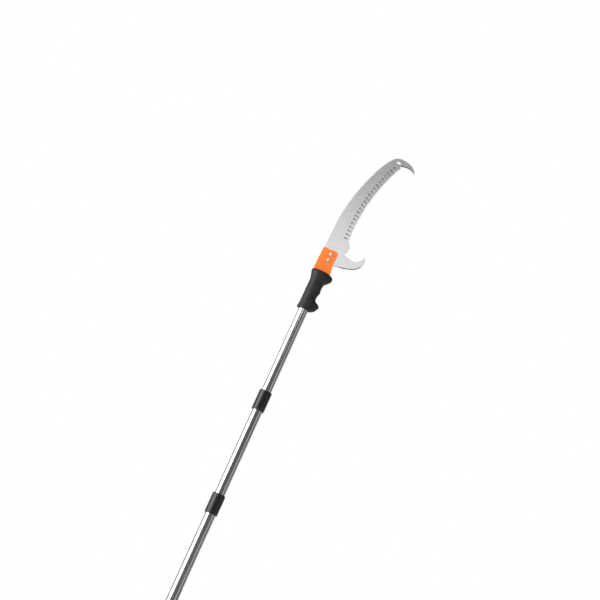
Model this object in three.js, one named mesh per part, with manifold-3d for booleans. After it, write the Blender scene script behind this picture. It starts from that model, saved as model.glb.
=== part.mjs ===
// Telescoping pole saw: a curved pruning blade with two hooks, bolted into a flattened steel socket,
// a moulded grip over the socket, and a three-stage stainless pole with two twist locks.
//
// Frame: millimetres. +Z runs up the pole's axis to the blade, +X is the side that the teeth face,
// -Y is the side that shows the heads of the blade screws. The origin is the middle of the butt's flat end.

import * as THREE from "three";
import { mergeVertices } from "three/addons/utils/BufferGeometryUtils.js";
import Module from "manifold-3d";

const wasm = await Module();
wasm.setup();

// ---------------------------------------------------------------- driving dimensions

// Pole tubes: thin stainless tubes that run inside each other.
const TUBE_WALL = 0.38;
const RUNNING_GAP = 0.12;
const TUBE_STEP = TUBE_WALL + RUNNING_GAP;
const TOP_TUBE_R = 13.3;
const MIDDLE_TUBE_R = TOP_TUBE_R + TUBE_STEP;
const BASE_TUBE_R = MIDDLE_TUBE_R + TUBE_STEP;
const MIDDLE_TUBE_LENGTH = 600;
const TOP_TUBE_LENGTH = 640;

// Twist locks: threaded body on the outer tube, split wedge ring, and a nut over both.
const LOCK_HEIGHT = 54;
const LOCK_FLANGE = 5;
const LOCK_SEAT_Z = 26;
const LOCK_MOUTH_Z = 40;
const WEDGE_FOOT_Z = LOCK_MOUTH_Z - 8;
const WEDGE_HEAD_Z = LOCK_MOUTH_Z + 0.4;
const WEDGE_TOP_Z = LOCK_MOUTH_Z + 5;
const NUT_SHELL = 2.8;
const NUT_CAVITY = 1.9;
const BARREL_WALL = 1.15;
const BODY_THREAD = 1.7;
const NUT_THREAD = 1.35;
const THREAD_PITCH = 3;
const THREAD_TURNS = 3;
const THREAD_START_Z = 9;

// Butt cap: a rubber cup over the lower end of the base tube.
const CAP_R = 16.2;
const CAP_HEIGHT = 38;
const CAP_FLOOR = 4;

// Heights along the pole, with the two inner stages part way out.
const LOWER_LOCK_Z = 560;
const MIDDLE_EXPOSED = 230;
const TOP_EXPOSED = 231;
const UPPER_LOCK_Z = LOWER_LOCK_Z + LOCK_HEIGHT + MIDDLE_EXPOSED;
const GRIP_Z = UPPER_LOCK_Z + LOCK_HEIGHT + TOP_EXPOSED;

// Head: a round steel tube, flattened and slit at the top to hold the blade.
const SOCKET_R = 15.4;
const SOCKET_WALL = 1.3;
const SOCKET_BOTTOM = 3.3;
const SOCKET_TOP = 172;
const SOCKET_FLAT = 4.3;
const SOCKET_SHIFT = 2.5;
const SOCKET_TAPER = 0.9;
const FLATTEN_FROM = 66;
const FLATTEN_TO = 116;
const TUBE_INTO_SOCKET = 62;
const GRIP_HEIGHT = 108;
const GRIP_SCREW_Z = 30;
const GRIP_SCREW_HOLE_R = 2.2;

const BLADE_THICKNESS = 1.5;
const BLADE_SCREW_X = 7;
const BLADE_SCREW_R = 2.45;
const BLADE_HOLE_R = 2.7;
const BLADE_SCREW_DROPS = { upper: 12, lower: 28 };

// Teeth: pairs of teeth between deep keyhole gullets, on a hollow arc.
const TOOTH_ARC_R = 495;
const TOOTH_ARC_X = 34.2;
const TOOTH_ARC_Z = 66;
const TOOTH_FROM = -0.0586;
const GULLETS = 22;
const GULLET_PITCH = 10.65;
const GULLET_DEPTH = 13.6;
const GULLET_LEAN = 3;
const GULLET_HALF_WIDTH = 0.3;
const GULLET_EYE_R = 0.75;
const TOOTH_HEIGHT = 3;

const ROUND = 36;
const SMALL_ROUND = 24;

// ---------------------------------------------------------------- materials

const finish = (color, roughness, metalness) =>
  new THREE.MeshStandardMaterial({ color, roughness, metalness });
const stainless = finish(0xb9babb, 0.2, 1);
const bladeSteel = finish(0xc4c6c5, 0.3, 1);
const orangePaint = finish(0xf07a24, 0.38, 0);
const blackGrip = finish(0x1b1b1d, 0.62, 0);
const blackNylon = finish(0x161617, 0.45, 0);
const greyAcetal = finish(0xd8d8d2, 0.5, 0);
const blackRubber = finish(0x202021, 0.8, 0);
const zincPlate = finish(0xcfcbc2, 0.3, 1);

// ---------------------------------------------------------------- shape helpers

// A closed geometry as a manifold solid, turned right side out.
function solid(geometry) {
  const bare = geometry.index ? geometry.toNonIndexed() : geometry.clone();
  bare.deleteAttribute("normal");
  bare.deleteAttribute("uv");
  const merged = mergeVertices(bare, 1e-4);
  const corners = [];
  const index = merged.index.array;
  for (let i = 0; i < index.length; i += 3) {
    const [a, b, c] = [index[i], index[i + 1], index[i + 2]];
    if (a !== b && b !== c && c !== a) corners.push([a, b, c]);
  }
  const make = (faces) =>
    new wasm.Manifold(
      new wasm.Mesh({
        numProp: 3,
        vertProperties: merged.attributes.position.array,
        triVerts: new Uint32Array(faces.flat()),
      }),
    );
  const made = make(corners);
  return made.volume() > 0 ? made : make(corners.map(([a, b, c]) => [a, c, b]));
}

function geometryOf(manifold) {
  const mesh = manifold.getMesh();
  const positions = new Float32Array(mesh.numVert * 3);
  for (let i = 0; i < mesh.numVert; i++) {
    const from = i * mesh.numProp;
    positions.set(mesh.vertProperties.subarray(from, from + 3), i * 3);
  }
  const geometry = new THREE.BufferGeometry();
  geometry.setAttribute("position", new THREE.BufferAttribute(positions, 3));
  geometry.setIndex(new THREE.BufferAttribute(new Uint32Array(mesh.triVerts), 1));
  geometry.computeVertexNormals();
  return geometry;
}

function join(first, ...others) {
  return others.reduce((sum, next) => sum.add(next), first);
}

function cut(first, ...others) {
  return others.reduce((rest, tool) => rest.subtract(tool), first);
}

// A solid of revolution about Z from [radius, height] points.
function turned(points, segments = ROUND) {
  const profile = points.map(([r, z]) => new THREE.Vector2(r, z));
  return solid(new THREE.LatheGeometry(profile, segments).rotateX(Math.PI / 2));
}

function ring(rInner, rOuter, z0, z1, segments = ROUND) {
  return turned(
    [
      [rInner, z0],
      [rOuter, z0],
      [rOuter, z1],
      [rInner, z1],
      [rInner, z0],
    ],
    segments,
  );
}

// A round bar along Y.
function barAlongY(x, z, radius, y0, y1, segments = SMALL_ROUND) {
  const bar = new THREE.CylinderGeometry(radius, radius, y1 - y0, segments);
  return solid(bar.translate(x, (y0 + y1) / 2, z));
}

function block(x0, x1, y0, y1, z0, z1) {
  const box = new THREE.BoxGeometry(x1 - x0, y1 - y0, z1 - z0);
  return solid(box.translate((x0 + x1) / 2, (y0 + y1) / 2, (z0 + z1) / 2));
}

// A flat plate: a shape drawn in X and Z, given a thickness about y = 0.
function plate(shape, thickness, curveSegments = 10) {
  const drawn = new THREE.ExtrudeGeometry(shape, {
    depth: thickness,
    bevelEnabled: false,
    curveSegments,
  });
  return solid(drawn.rotateX(Math.PI / 2).translate(0, thickness / 2, 0));
}

// A skin through rings of equal point count, closed by a flat fan at each end.
function loft(rings) {
  const count = rings[0].length;
  const positions = rings.flat().flatMap((p) => [p.x, p.y, p.z]);
  const index = [];
  for (let i = 0; i + 1 < rings.length; i++)
    for (let j = 0; j < count; j++) {
      const k = (j + 1) % count;
      const [a, b] = [i * count + j, i * count + k];
      const [c, d] = [a + count, b + count];
      index.push(a, b, d, a, d, c);
    }
  const last = (rings.length - 1) * count;
  for (let j = 1; j + 1 < count; j++) {
    index.push(0, j + 1, j);
    index.push(last, last + j, last + j + 1);
  }
  const geometry = new THREE.BufferGeometry();
  geometry.setAttribute("position", new THREE.Float32BufferAttribute(positions, 3));
  geometry.setIndex(index);
  return solid(geometry);
}

// A smooth height-to-size function through hand-placed stations [height, size].
function through(stations) {
  const slope = (i) => {
    const a = stations[Math.max(i - 1, 0)];
    const b = stations[Math.min(i + 1, stations.length - 1)];
    return (b[1] - a[1]) / (b[0] - a[0]);
  };
  return (z) => {
    const last = stations.length - 2;
    let i = 0;
    while (i < last && z > stations[i + 1][0]) i++;
    const [[z0, v0], [z1, v1]] = [stations[i], stations[i + 1]];
    const span = z1 - z0;
    const t = Math.min(Math.max((z - z0) / span, 0), 1);
    const [t2, t3] = [t * t, t * t * t];
    return (
      v0 * (2 * t3 - 3 * t2 + 1) +
      v1 * (3 * t2 - 2 * t3) +
      slope(i) * span * (t3 - 2 * t2 + t) +
      slope(i + 1) * span * (t3 - t2)
    );
  };
}

// One node of the object.
function piece(name, manifold, material) {
  const mesh = new THREE.Mesh(geometryOf(manifold), material);
  mesh.name = name;
  return mesh;
}

function at(z, ...children) {
  const group = new THREE.Group();
  group.position.z = z;
  group.add(...children);
  return group;
}

// ---------------------------------------------------------------- pole tubes and their ends

function tube(outerR, z0, z1) {
  return ring(outerR - TUBE_WALL, outerR, z0, z1);
}

// The plug pressed into a tube's lower end. Its flange has a groove for the guide ring.
function endPlug(tubeR) {
  const bore = 8.5;
  const plugR = tubeR - TUBE_WALL - RUNNING_GAP;
  const grooveR = tubeR - 1.25;
  return turned([
    [bore, -12],
    [tubeR, -12],
    [tubeR, -9],
    [grooveR, -9],
    [grooveR, -3],
    [tubeR, -3],
    [tubeR, -0.2],
    [plugR, -0.2],
    [plugR, 18],
    [bore, 18],
    [bore, -12],
  ]);
}

// The split guide ring that keeps an inner tube centred as it runs.
function guideRing(tubeR) {
  const slit = 0.8;
  const whole = ring(tubeR - 1, tubeR + 0.05, -8.8, -3.2);
  return cut(whole, block(-slit, slit, 0, tubeR + 5, -12, 0));
}

function buttCap() {
  return turned([
    [0, 0],
    [CAP_R - 2.2, 0],
    [CAP_R - 0.6, 0.7],
    [CAP_R, 2.4],
    [CAP_R, CAP_HEIGHT - 1.2],
    [CAP_R - 0.6, CAP_HEIGHT],
    [BASE_TUBE_R + RUNNING_GAP, CAP_HEIGHT],
    [BASE_TUBE_R + RUNNING_GAP, CAP_FLOOR],
    [0, CAP_FLOOR],
  ]);
}

// ---------------------------------------------------------------- twist locks

// A helical thread ridge between two radii, with its first turn centred on height z0.
function threadRidge(rRoot, rCrest, z0) {
  const perTurn = 24;
  const rootHalf = 0.65;
  const crestHalf = 0.35;
  const rings = [];
  for (let i = 0; i <= THREAD_TURNS * perTurn; i++) {
    const angle = (i / perTurn) * 2 * Math.PI;
    const z = z0 + (i / perTurn) * THREAD_PITCH;
    const point = (r, lift) =>
      new THREE.Vector3(r * Math.cos(angle), r * Math.sin(angle), z + lift);
    rings.push([
      point(rRoot, -rootHalf),
      point(rCrest, -crestHalf),
      point(rCrest, crestHalf),
      point(rRoot, rootHalf),
    ]);
  }
  return loft(rings);
}

// The threaded body on the end of the outer tube. Its mouth is a cone for the wedge ring.
function lockBody(outerR, innerR) {
  const barrelR = outerR + BARREL_WALL;
  const barrel = turned([
    [outerR + RUNNING_GAP, 0],
    [outerR + NUT_SHELL - 0.8, 0],
    [outerR + NUT_SHELL, 0.8],
    [outerR + NUT_SHELL, LOCK_FLANGE],
    [barrelR, LOCK_FLANGE],
    [barrelR, LOCK_MOUTH_Z],
    [innerR + BARREL_WALL, LOCK_MOUTH_Z],
    [innerR + 0.5, LOCK_SEAT_Z + 3],
    [innerR + 0.3, LOCK_SEAT_Z + 3],
    [innerR + 0.3, LOCK_SEAT_Z],
    [outerR + RUNNING_GAP, LOCK_SEAT_Z],
    [outerR + RUNNING_GAP, 0],
  ]);
  return join(barrel, threadRidge(barrelR - 0.3, outerR + BODY_THREAD, THREAD_START_Z));
}

// The split ring that the nut pushes into the cone, so that it grips the inner tube.
function wedgeRing(innerR) {
  const slit = 1.2;
  const whole = turned([
    [innerR + 0.15, WEDGE_FOOT_Z],
    [innerR + 0.45, WEDGE_FOOT_Z],
    [innerR + 0.9, LOCK_MOUTH_Z],
    [innerR + 0.9, WEDGE_HEAD_Z],
    [innerR + 2.2, WEDGE_HEAD_Z],
    [innerR + 2.2, WEDGE_TOP_Z],
    [innerR + 0.15, WEDGE_TOP_Z],
    [innerR + 0.15, WEDGE_FOOT_Z],
  ]);
  return cut(whole, block(-slit, slit, 0, innerR + 5, WEDGE_FOOT_Z - 1, WEDGE_TOP_Z + 1));
}

// The nut that shows as a plain black sleeve.
function lockNut(outerR, innerR) {
  const shellR = outerR + NUT_SHELL;
  const cavityR = outerR + NUT_CAVITY;
  const z0 = LOCK_FLANGE + 0.4;
  const shell = turned([
    [cavityR, z0],
    [shellR - 0.4, z0],
    [shellR, z0 + 0.4],
    [shellR, LOCK_HEIGHT - 2.4],
    [shellR - 0.7, LOCK_HEIGHT - 0.7],
    [shellR - 2.4, LOCK_HEIGHT],
    [innerR + 0.5, LOCK_HEIGHT],
    [innerR + 0.5, WEDGE_TOP_Z + 0.4],
    [cavityR, WEDGE_TOP_Z + 0.4],
    [cavityR, z0],
  ]);
  const thread = threadRidge(cavityR + 0.3, outerR + NUT_THREAD, THREAD_START_Z + THREAD_PITCH / 2);
  return join(shell, thread);
}

// ---------------------------------------------------------------- socket

const ease = (t) => t * t * (3 - 2 * t);
const clamp01 = (t) => Math.min(Math.max(t, 0), 1);
const flattening = (z) => ease(clamp01((z - FLATTEN_FROM) / (FLATTEN_TO - FLATTEN_FROM)));

// The socket's outline at a height, moved out by grow. Pressing a tube flat keeps its
// perimeter, so the section is a stadium whose width follows from its thickness. Above the
// pressed neck the folded side leans in a little.
function socketRing(z, grow) {
  const count = 40;
  const flat = flattening(z);
  const thick = 2 * SOCKET_R + (SOCKET_FLAT - 2 * SOCKET_R) * flat;
  const taper = SOCKET_TAPER * clamp01((z - FLATTEN_TO) / (SOCKET_TOP - FLATTEN_TO));
  const perimeter = 2 * Math.PI * SOCKET_R - 4 * taper;
  const straight = (perimeter - Math.PI * thick) / 2;
  const bend = thick / 2;
  const quarter = (Math.PI * bend) / 2;
  const points = [];
  for (let i = 0; i < count; i++) {
    let run = (i / count) * perimeter;
    let side = 1;
    if (run >= perimeter / 2) {
      run -= perimeter / 2;
      side = -1;
    }
    let [x, y, nx, ny] = [0, 0, 0, 0];
    if (run < quarter || run >= quarter + straight) {
      const right = run < quarter;
      const turn = right ? run / bend : (run - straight) / bend;
      [nx, ny] = [Math.cos(turn), Math.sin(turn)];
      x = (right ? straight / 2 : -straight / 2) + bend * nx;
      y = bend * ny;
    } else {
      [nx, ny] = [0, 1];
      x = straight / 2 - (run - quarter);
      y = bend;
    }
    const shift = SOCKET_SHIFT * flat + taper;
    points.push(new THREE.Vector3(side * (x + grow * nx) + shift, side * (y + grow * ny), z));
  }
  return points;
}

function socketLevels(from, to) {
  const levels = [from];
  const step = 6.25;
  for (let z = FLATTEN_FROM; z <= FLATTEN_TO; z += step) levels.push(z);
  levels.push(to);
  return levels.filter((z) => z >= from && z <= to);
}

function socketBody(from, to, grow) {
  return loft(socketLevels(from, to).map((z) => socketRing(z, grow)));
}

// The outline seen from the front: one side is sheared back so that the hooked blade
// can leave the fold, and the top corners are rounded.
function socketOutline() {
  const right = 23;
  const left = -24;
  const roundRight = 7.5;
  const roundLeft = 3;
  const leftEdge = -18.7;
  const shape = new THREE.Shape();
  shape.moveTo(left, -5);
  shape.lineTo(30, -5);
  shape.lineTo(30, 112);
  shape.lineTo(25.4, 116);
  shape.lineTo(22.6, 133.4);
  shape.lineTo(right, SOCKET_TOP - roundRight);
  shape.absarc(right - roundRight, SOCKET_TOP - roundRight, roundRight, 0, Math.PI / 2);
  shape.lineTo(leftEdge + roundLeft, SOCKET_TOP);
  shape.absarc(leftEdge + roundLeft, SOCKET_TOP - roundLeft, roundLeft, Math.PI / 2, Math.PI);
  shape.lineTo(left, SOCKET_TOP - roundLeft - 1);
  return shape;
}

function bladeSocket() {
  const outer = socketBody(SOCKET_BOTTOM, SOCKET_TOP, 0);
  const inner = socketBody(SOCKET_BOTTOM - 2, SOCKET_TOP + 3, -SOCKET_WALL);
  const trimmed = cut(outer, inner).intersect(plate(socketOutline(), 60, 6));
  const holes = Object.values(BLADE_SCREW_DROPS).map((drop) =>
    barAlongY(BLADE_SCREW_X, SOCKET_TOP - drop, BLADE_HOLE_R, -10, 10),
  );
  return cut(trimmed, ...holes, gripScrewWay(GRIP_SCREW_Z));
}

// The hole for the grip screw, through one wall only.
function gripScrewWay(z) {
  return barAlongY(0, z, GRIP_SCREW_HOLE_R, 5, 25, 16);
}

// The thin plastic liner between the socket's bore and the top tube.
function socketBush() {
  const bore = TOP_TUBE_R + RUNNING_GAP;
  const bush = ring(bore, SOCKET_R - SOCKET_WALL - RUNNING_GAP, SOCKET_BOTTOM + 1, 61);
  return cut(bush, gripScrewWay(GRIP_SCREW_Z));
}

// ---------------------------------------------------------------- grip

const gripFront = through([
  [0, 17.5],
  [4, 25.5],
  [12, 31.4],
  [20, 34],
  [25, 30],
  [30, 21],
  [40, 18.6],
  [50, 21],
  [56, 22.4],
  [62, 21],
  [72, 21.6],
  [79, 23.2],
  [86, 30.6],
  [93, 35.8],
  [98, 37],
  [103, 35.2],
  [106, 32],
  [108, 27],
]);
const gripBack = through([
  [0, 17.6],
  [3, 18.6],
  [9, 17.8],
  [20, 17.1],
  [55, 17.1],
  [80, 17],
  [88, 18.4],
  [98, 21.2],
  [103, 22.2],
  [106, 22],
  [108, 21.2],
]);
const gripHalfDepth = through([
  [0, 17.8],
  [4, 18.6],
  [14, 18],
  [40, 17.5],
  [75, 17.6],
  [96, 18.8],
  [104, 18.4],
  [108, 16.6],
]);

function gripRing(z) {
  const count = 30;
  const [front, back, depth] = [gripFront(z), gripBack(z), gripHalfDepth(z)];
  const points = [];
  for (let i = 0; i < count; i++) {
    const angle = (i / count) * 2 * Math.PI;
    const reach = Math.cos(angle) > 0 ? front : back;
    points.push(new THREE.Vector3(reach * Math.cos(angle), depth * Math.sin(angle), z));
  }
  return points;
}

function grip() {
  const heights = [0, 2, 4, 8, 13, 17, 20, 23, 26, 29, 34, 40, 46, 52, 56, 61, 67, 74];
  heights.push(80, 84, 88, 92, 96, 100, 103, 105.5, GRIP_HEIGHT);
  const shell = loft(heights.map(gripRing));
  const seat = socketBody(SOCKET_BOTTOM - 0.3, GRIP_HEIGHT + 4, 0.3);
  const tail = ring(0, TOP_TUBE_R + 0.3, -1, SOCKET_BOTTOM + 1);
  const screwSeat = barAlongY(0, GRIP_SCREW_Z, 4.4, 16.6, 25, 20);
  return cut(shell, seat, tail, gripScrewWay(GRIP_SCREW_Z), screwSeat);
}

// The self-tapping screw through grip, socket, bush and top tube, on the far side.
function gripScrew() {
  const y = { tip: 8, neck: 16.8, crown: 19 };
  const shank = barAlongY(0, GRIP_SCREW_Z, 1.9, y.tip, y.neck + 0.2, 16);
  const head = barAlongY(0, GRIP_SCREW_Z, 4, y.neck, y.crown, 20);
  return cut(join(shank, head), ...crossRecess(0, GRIP_SCREW_Z, y.crown - 1.4, y.crown + 1, 2));
}

// ---------------------------------------------------------------- blade

// A point of the tooth line: along is the distance up the arc, inward the depth into the blade.
function toothPoint(along, inward) {
  const angle = TOOTH_FROM + along / TOOTH_ARC_R;
  const r = TOOTH_ARC_R + inward;
  return [
    TOOTH_ARC_X + TOOTH_ARC_R - r * Math.cos(angle),
    TOOTH_ARC_Z + r * Math.sin(angle),
  ];
}

// Adds one deep gullet and the two teeth above it.
function addGulletAndTeeth(shape, along) {
  const half = GULLET_HALF_WIDTH;
  const lean = (depth) => (depth / GULLET_DEPTH) * GULLET_LEAN;
  const to = (a, d) => shape.lineTo(...toothPoint(along + a, d));
  const eyeDepth = GULLET_DEPTH - GULLET_EYE_R;
  const lip = 2.6;
  to(lean(lip) - half, lip);
  to(lean(eyeDepth - GULLET_EYE_R) - half, eyeDepth - GULLET_EYE_R);
  const eyeSteps = 7;
  const open = 0.4;
  for (let i = 0; i <= eyeSteps; i++) {
    const turn = open + (i / eyeSteps) * (2 * Math.PI - 2 * open);
    to(lean(eyeDepth) - GULLET_EYE_R * Math.sin(turn), eyeDepth - GULLET_EYE_R * Math.cos(turn));
  }
  to(lean(eyeDepth - GULLET_EYE_R) + half, eyeDepth - GULLET_EYE_R);
  to(lean(lip) + half, lip);
  to(0.29 * GULLET_PITCH, 0);
  to(0.52 * GULLET_PITCH, TOOTH_HEIGHT);
  to(0.75 * GULLET_PITCH, 0);
}

// Outline in X and Z, from the middle of the socket's top edge.
function bladeOutline() {
  const v = (x, z) => new THREE.Vector2(x, z);
  const shape = new THREE.Shape();
  shape.moveTo(-17.2, 0.3);
  shape.lineTo(-15.4, 0.3);
  shape.lineTo(-15.4, -44);
  shape.quadraticCurveTo(-15.4, -50, -9.4, -50);
  shape.lineTo(14, -50);
  shape.quadraticCurveTo(20, -50, 20, -44);
  shape.lineTo(20.2, -38.2);
  // lower hook: belly, point and throat
  shape.lineTo(27, -37);
  shape.splineThru([v(51, -32.6), v(64, -28.5), v(77, -22.7), v(88, -12.8), v(93.3, 1.5), v(89, 17)]);
  shape.splineThru([v(85.2, 9.4), v(80, 2.2), v(72.5, -3.6), v(63.5, -5.6), v(51, -2.8), v(37.6, 2)]);
  // heel, up to the first gullet
  shape.splineThru([v(41.6, 9), v(43.5, 18), v(42.6, 26), v(37.6, 34.8)]);
  for (let i = 0; i < GULLETS; i++) addGulletAndTeeth(shape, (i + 0.4) * GULLET_PITCH);
  // shoulder, tip hook and back
  shape.lineTo(79, 271.6);
  shape.lineTo(76, 276);
  shape.splineThru([v(82.5, 278.7), v(90.5, 280.2), v(98.5, 280.2), v(106.5, 278.2), v(118.8, 271.6)]);
  shape.splineThru([v(112.6, 282.4), v(103.5, 289.8), v(90.5, 294.7), v(77, 296.4), v(65, 295), v(55.5, 290.3)]);
  shape.splineThru([v(43.9, 275.3), v(26.9, 243.1), v(4.4, 178.9), v(-6.6, 131.2), v(-13.6, 83.2), v(-17.2, 0.3)]);
  shape.holes.push(tipSlot());
  for (const drop of Object.values(BLADE_SCREW_DROPS)) {
    const hole = new THREE.Path();
    hole.absarc(BLADE_SCREW_X, -drop, BLADE_HOLE_R, 0, 2 * Math.PI, true);
    shape.holes.push(hole);
  }
  return shape;
}

// The hanging slot behind the tip hook.
function tipSlot() {
  const centre = { x: 68.6, z: 284 };
  const halfLength = 2.3;
  const radius = 2.9;
  const slot = new THREE.Path();
  slot.absarc(centre.x + halfLength, centre.z, radius, -Math.PI / 2, Math.PI / 2);
  slot.absarc(centre.x - halfLength, centre.z, radius, Math.PI / 2, (3 * Math.PI) / 2);
  slot.closePath();
  return slot;
}

// ---------------------------------------------------------------- blade screws

// The two crossed slots of a screwdriver recess, cut along Y.
function crossRecess(x, z, y0, y1, reach) {
  const half = 0.5;
  return [
    block(x - reach, x + reach, y0, y1, z - half, z + half),
    block(x - half, x + half, y0, y1, z - reach, z + reach),
  ];
}

const PLATE_FACE = SOCKET_FLAT / 2;

function bladeScrew(z) {
  const crown = -PLATE_FACE - 3.4;
  const head = turned(
    [
      [0, 0.1],
      [4.7, 0.1],
      [4.7, 1.6],
      [3.9, 2.7],
      [2.4, 3.4],
      [0, 3.4],
    ],
    SMALL_ROUND,
  )
    .rotate([90, 0, 0])
    .translate([BLADE_SCREW_X, -PLATE_FACE, z]);
  const shank = barAlongY(BLADE_SCREW_X, z, BLADE_SCREW_R, -PLATE_FACE - 1, 10);
  return cut(join(head, shank), ...crossRecess(BLADE_SCREW_X, z, crown - 1, crown + 1.6, 2.3));
}

function bladeWasher(z) {
  const disc = barAlongY(BLADE_SCREW_X, z, 5, PLATE_FACE + 0.1, PLATE_FACE + 1.1);
  return cut(disc, barAlongY(BLADE_SCREW_X, z, BLADE_HOLE_R, 0, 10));
}

function bladeNut(z) {
  const acrossCorners = 4.62;
  const face = PLATE_FACE + 1.2;
  const hex = barAlongY(BLADE_SCREW_X, z, acrossCorners, face, face + 4, 6);
  return cut(hex, barAlongY(BLADE_SCREW_X, z, BLADE_HOLE_R, 0, 12));
}

// ---------------------------------------------------------------- assembly

const baseStage = at(
  0,
  piece("butt_cap", buttCap(), blackRubber),
  piece("base_tube", tube(BASE_TUBE_R, CAP_FLOOR + 0.3, LOWER_LOCK_Z + LOCK_SEAT_Z - 0.2), stainless),
);

function twistLock(label, z, outerR, innerR) {
  return at(
    z,
    piece(label + "_lock_body", lockBody(outerR, innerR), blackNylon),
    piece(label + "_wedge_ring", wedgeRing(innerR), greyAcetal),
    piece(label + "_lock_nut", lockNut(outerR, innerR), blackNylon),
  );
}

function slidingStage(label, tubeR, tubeShape, bottom) {
  return at(
    bottom,
    piece(label + "_tube", tubeShape, stainless),
    piece(label + "_tube_plug", endPlug(tubeR), blackNylon),
    piece(label + "_guide_ring", guideRing(tubeR), greyAcetal),
  );
}

const middleBottom = UPPER_LOCK_Z + LOCK_SEAT_Z - 0.2 - MIDDLE_TUBE_LENGTH;
const middleTube = tube(MIDDLE_TUBE_R, 0, MIDDLE_TUBE_LENGTH);
const topBottom = GRIP_Z + TUBE_INTO_SOCKET - TOP_TUBE_LENGTH;
const topTubeHole = gripScrewWay(GRIP_Z + GRIP_SCREW_Z - topBottom);
const topTube = cut(tube(TOP_TUBE_R, 0, TOP_TUBE_LENGTH), topTubeHole);

const head = at(
  GRIP_Z,
  piece("blade_socket", bladeSocket(), orangePaint),
  piece("socket_bush", socketBush(), blackNylon),
  piece("grip", grip(), blackGrip),
  piece("grip_screw", gripScrew(), zincPlate),
  at(SOCKET_TOP, piece("saw_blade", plate(bladeOutline(), BLADE_THICKNESS), bladeSteel)),
);
for (const [label, drop] of Object.entries(BLADE_SCREW_DROPS)) {
  const z = SOCKET_TOP - drop;
  head.add(
    piece("blade_screw_" + label, bladeScrew(z), zincPlate),
    piece("blade_washer_" + label, bladeWasher(z), zincPlate),
    piece("blade_nut_" + label, bladeNut(z), zincPlate),
  );
}

const poleSaw = new THREE.Group();
poleSaw.add(
  baseStage,
  twistLock("lower", LOWER_LOCK_Z, BASE_TUBE_R, MIDDLE_TUBE_R),
  slidingStage("middle", MIDDLE_TUBE_R, middleTube, middleBottom),
  twistLock("upper", UPPER_LOCK_Z, MIDDLE_TUBE_R, TOP_TUBE_R),
  slidingStage("top", TOP_TUBE_R, topTube, topBottom),
  head,
);

export default poleSaw;
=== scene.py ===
# %% [markdown]
# # Telescoping pole saw
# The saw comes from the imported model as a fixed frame, already in its place. Everything below
# dresses that frame: smooth detailed pieces stand in for the faceted solids that show, and every
# surface gets a material made of nodes.

# %% Load the frame
import math
import bmesh
import bpy
from mathutils import Matrix, Vector


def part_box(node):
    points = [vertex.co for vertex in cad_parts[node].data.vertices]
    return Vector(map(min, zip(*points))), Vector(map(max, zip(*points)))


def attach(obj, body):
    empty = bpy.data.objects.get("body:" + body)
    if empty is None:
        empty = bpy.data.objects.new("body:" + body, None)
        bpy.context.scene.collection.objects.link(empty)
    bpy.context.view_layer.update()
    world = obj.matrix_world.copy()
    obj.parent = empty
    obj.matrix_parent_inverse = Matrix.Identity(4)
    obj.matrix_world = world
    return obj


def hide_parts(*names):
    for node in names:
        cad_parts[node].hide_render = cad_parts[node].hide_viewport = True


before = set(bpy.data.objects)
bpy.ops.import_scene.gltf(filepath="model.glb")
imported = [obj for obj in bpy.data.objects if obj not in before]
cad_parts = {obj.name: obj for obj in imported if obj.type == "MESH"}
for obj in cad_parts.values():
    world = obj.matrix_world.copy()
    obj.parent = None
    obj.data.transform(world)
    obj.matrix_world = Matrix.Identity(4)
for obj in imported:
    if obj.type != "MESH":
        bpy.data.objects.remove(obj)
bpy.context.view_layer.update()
scene = bpy.context.scene
MM = 0.001

# %% [markdown]
# ## Heights that the pieces share
# A piece is placed by the box of the solid that it stands for, so the positions are read from the
# frame once and named here.

# %% Heights from the frame
grip_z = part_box("grip")[0].z
socket_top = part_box("blade_socket")[1].z
tube_radius = {name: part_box(name)[1].y for name in ("base_tube", "middle_tube", "top_tube")}
print("grip starts at %.3f m, socket ends at %.3f m" % (grip_z, socket_top))

# %% [markdown]
# ## Camera
# The saw is seen square on to the blade and from a little below, with the pole leaning to the
# right of the view. A long lens far away keeps the tubes' edges nearly parallel.

# %% Camera
LOOK_UP = math.radians(12)
LEAN = math.radians(24.45)
VIEW_WIDTH = 1.524
CAMERA_DISTANCE = 5.0
SENSOR = 36
FARTHEST = 50
TARGET = Vector((-0.0175, 0, socket_top - 0.1534))

forward = Vector((0, math.cos(LOOK_UP), math.sin(LOOK_UP)))
pole_up = Vector((0, -math.sin(LOOK_UP), math.cos(LOOK_UP)))
across = Vector((1, 0, 0))
right = across * math.cos(LEAN) + pole_up * math.sin(LEAN)
up = pole_up * math.cos(LEAN) - across * math.sin(LEAN)

camera_data = bpy.data.cameras.new("camera")
camera_data.sensor_width = SENSOR
camera_data.lens = SENSOR * CAMERA_DISTANCE / VIEW_WIDTH
camera_data.clip_end = FARTHEST
camera = bpy.data.objects.new("camera", camera_data)
turned_to = Matrix((right, up, -forward)).transposed()
camera.matrix_world = Matrix.LocRotScale(TARGET - forward * CAMERA_DISTANCE, turned_to, None)
scene.collection.objects.link(camera)
scene.camera = camera
print("lens %.0f mm at %.1f m" % (camera_data.lens, CAMERA_DISTANCE))

# %% [markdown]
# ## Light
# Polished tubes show their surroundings as stripes, so the studio is built for them. One tall
# soft box on the left gives the broad white stripe, and a dim panel on the right gives the grey
# one. The dark gap between them gives the dark line down the middle. A small box in front of the
# blade lights its flat face, brightest near the socket, a higher one lights the saw from above,
# and two boxes behind serve the far side. An even dome of light would be simpler, but it would
# turn every tube into a plain grey bar.

# %% Studio
scene.view_settings.view_transform = "Standard"
POLE_MIDDLE = (0, 0, 1.1)
POLE_TOP = (0, 0, 1.3)
BLADE_FOOT = (0, 0, 1.4)


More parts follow.
